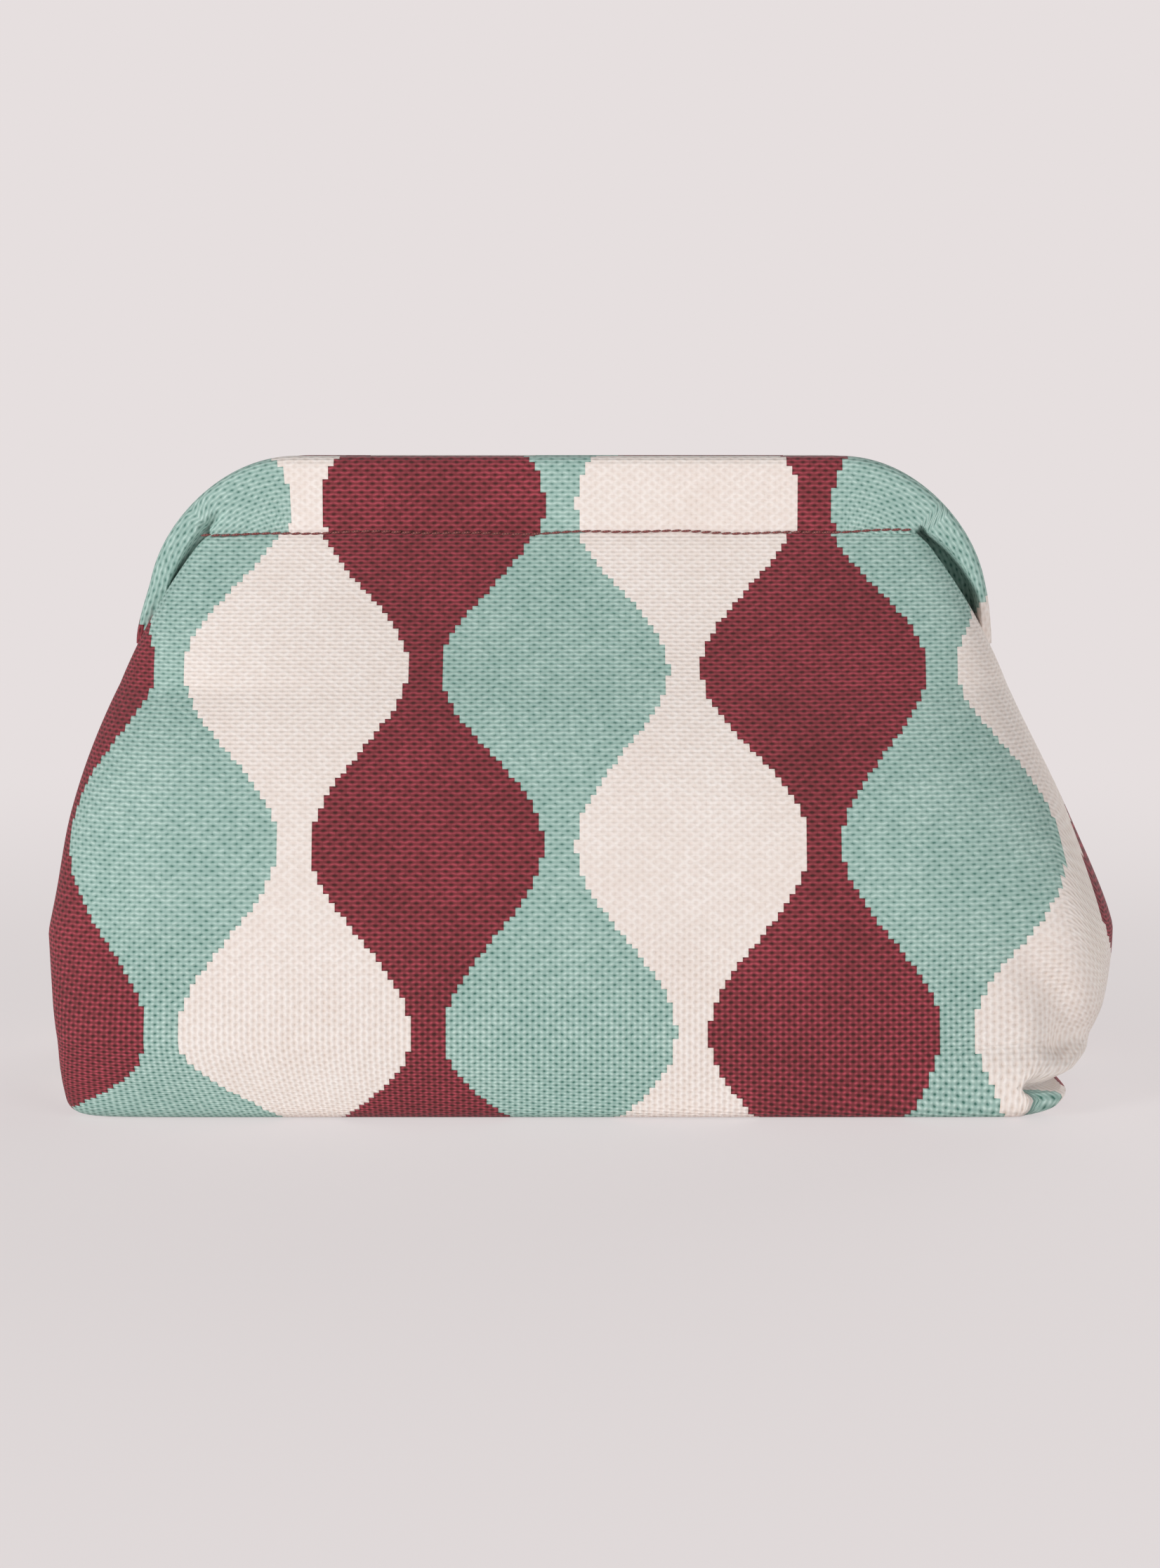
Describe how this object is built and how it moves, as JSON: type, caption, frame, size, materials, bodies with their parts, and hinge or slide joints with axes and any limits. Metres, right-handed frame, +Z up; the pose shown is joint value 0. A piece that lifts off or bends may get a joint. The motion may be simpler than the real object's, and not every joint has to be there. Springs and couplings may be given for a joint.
{
  "type": "toiletry bag",
  "caption": "Soft knitted toiletry bag with a boxed base and a round-cornered mouth that swings open on hidden U-shaped bars in sewn sleeves.",
  "frame": {"origin": "on the floor under the middle of the flat base", "axes": "+X to the right seen from the front, -Y towards the front, +Z up"},
  "size_m": [0.2744, 0.114, 0.1637],
  "materials": {
    "knit": "jacquard knit in waved stripes of aqua, wine and cream, bonded to a thin wadding",
    "lining": "plain woven lining, matt",
    "board": "grey board, raw",
    "steel": "rolled spring strip, satin",
    "nylon": "natural nylon",
    "magnet": "nickel plated"
  },
  "bodies": {
    "bag": {"front_panel": "knit", "back_panel": "knit", "front_lining": "lining", "back_lining": "lining", "base_board": "board", "left_gusset": "lining", "right_gusset": "lining", "left_rivet": "steel", "right_rivet": "steel", "left_washer": "nylon", "right_washer": "nylon"},
    "front_frame": {"front_bar": "steel", "front_casing": "knit", "front_yoke": "knit", "front_yoke_lining": "lining", "front_magnet": "magnet"},
    "back_frame": {"back_bar": "steel", "back_casing": "knit", "back_yoke": "knit", "back_yoke_lining": "lining", "back_magnet": "magnet"}
  },
  "joints": [
    {"name": "front_open", "type": "hinge", "parent": "bag", "child": "front_frame", "pos_m": [0, 0, 0.11], "axis": [1, 0, 0], "range_deg": [0, 50], "deforming": ["left_gusset", "right_gusset"]},
    {"name": "back_open", "type": "hinge", "parent": "bag", "child": "back_frame", "pos_m": [0, 0, 0.11], "axis": [-1, 0, 0], "range_deg": [0, 50]}
  ]
}
